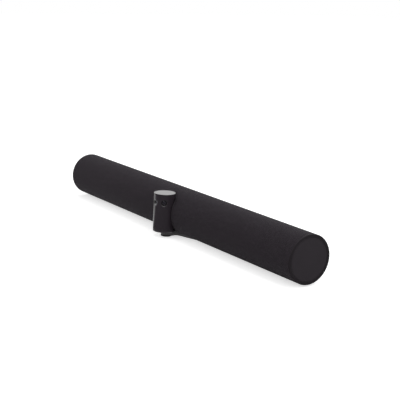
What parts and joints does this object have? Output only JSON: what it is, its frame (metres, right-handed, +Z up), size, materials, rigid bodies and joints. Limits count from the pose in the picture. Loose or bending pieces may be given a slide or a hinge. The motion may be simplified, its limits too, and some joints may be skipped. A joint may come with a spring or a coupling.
{
  "type": "conference camera",
  "caption": "Fabric-covered speaker bar on a cast foot, with an upright camera pod sunk in its front and a connector housing behind its middle.",
  "frame": {"origin": "on the table under the centre of the whole device's bounding box", "axes": "+X along the bar to its own left hand end as the camera pod looks out, which is the right as one faces it; the pod faces -Y; +Z is up"},
  "size_m": [0.65, 0.125, 0.0776],
  "materials": {
    "knit_fabric": "fine matt knit",
    "tube_alloy": "plain extruded",
    "ring_black": "smooth satin",
    "disc_grey": "fine matt",
    "saddle_black": "matt",
    "pod_black": "satin gloss",
    "pod_top": "gloss",
    "lens_glass": "coated optical glass",
    "lens_black": "matt black",
    "cast_black": "fine powder coat",
    "foot_rubber": "matt rubber",
    "brass": "machined",
    "housing_black": "fine spark texture",
    "steel": "zinc plated",
    "board_green": "solder mask",
    "chip_black": "epoxy",
    "socket_metal": "nickel plated",
    "button_black": "smooth",
    "ribbon_film": "polyimide film",
    "basket_black": "black coat",
    "magnet_steel": "zinc plated",
    "cone_paper": "coated paper",
    "surround_rubber": "soft rubber",
    "box_black": "plain moulded",
    "gasket_foam": "closed cell foam"
  },
  "bodies": {
    "bar": {"fabric_sleeve": "knit_fabric", "perforated_tube": "tube_alloy", "end_ring_left": "ring_black", "end_ring_right": "ring_black", "end_disc_left": "disc_grey", "end_disc_right": "disc_grey", "pod_saddle": "saddle_black", "pod_shell": "pod_black", "pod_top_ring": "pod_top", "pod_top_disc": "pod_top", "pod_base_cap": "pod_black", "camera_bracket": "tube_alloy", "lens_window_left": "lens_glass", "lens_window_centre": "lens_glass", "lens_window_right": "lens_glass", "lens_barrels": "lens_black", "lens_glasses": "lens_glass", "sensor_boards": "board_green", "pod_ribbon": "ribbon_film", "pod_screws": "steel", "base_casting": "cast_black", "front_foot": "foot_rubber", "rear_foot_left": "foot_rubber", "rear_foot_right": "foot_rubber", "tripod_insert": "brass", "rear_housing": "housing_black", "port_panel": "steel", "mount_plate": "steel", "lock_plate": "steel", "io_board": "board_green", "power_jack": "button_black", "network_jack": "socket_metal", "video_socket": "socket_metal", "serial_sockets": "socket_metal", "reversible_socket": "socket_metal", "button_switches": "chip_black", "io_ribbon": "ribbon_film", "woofer_frames": "basket_black", "woofer_magnets": "magnet_steel", "woofer_suspension_left": "surround_rubber", "woofer_suspension_right": "surround_rubber", "tweeter_bodies": "magnet_steel", "speaker_box_left": "box_black", "speaker_box_right": "box_black", "baffles": "box_black", "chassis_rail": "tube_alloy", "main_board": "board_green", "board_chips": "chip_black", "heat_sink": "tube_alloy", "antennas": "board_green", "microphone_boards": "board_green", "microphone_gaskets": "gasket_foam", "base_screws": "steel", "housing_screws": "steel"},
    "cone_left": {"woofer_cone_left": "cone_paper"},
    "cone_right": {"woofer_cone_right": "cone_paper"},
    "dome_left": {"tweeter_dome_left": "cone_paper"},
    "dome_right": {"tweeter_dome_right": "cone_paper"},
    "pairing_key": {"pairing_button": "button_black"},
    "reset_key": {"reset_button": "button_black"}
  },
  "joints": [
    {"name": "cone_left_slide", "type": "slide", "parent": "bar", "child": "cone_left", "axis": [0, -1, 0], "range_m": [-0.002, 0.002], "stiffness_N_per_m": 1500, "deforming": ["woofer_suspension_left"]},
    {"name": "cone_right_slide", "type": "slide", "parent": "bar", "child": "cone_right", "axis": [0, -1, 0], "range_m": [-0.002, 0.002], "stiffness_N_per_m": 1500, "deforming": ["woofer_suspension_right"]},
    {"name": "dome_left_slide", "type": "slide", "parent": "bar", "child": "dome_left", "axis": [0, -1, 0], "range_m": [-0.0003, 0.0003], "stiffness_N_per_m": 2500},
    {"name": "dome_right_slide", "type": "slide", "parent": "bar", "child": "dome_right", "axis": [0, -1, 0], "range_m": [-0.0003, 0.0003], "stiffness_N_per_m": 2500},
    {"name": "pairing_press", "type": "slide", "parent": "bar", "child": "pairing_key", "axis": [0, -1, 0], "range_m": [0, 0.0008], "stiffness_N_per_m": 700},
    {"name": "reset_press", "type": "slide", "parent": "bar", "child": "reset_key", "axis": [0, -1, 0], "range_m": [0, 0.0008], "stiffness_N_per_m": 700}
  ]
}
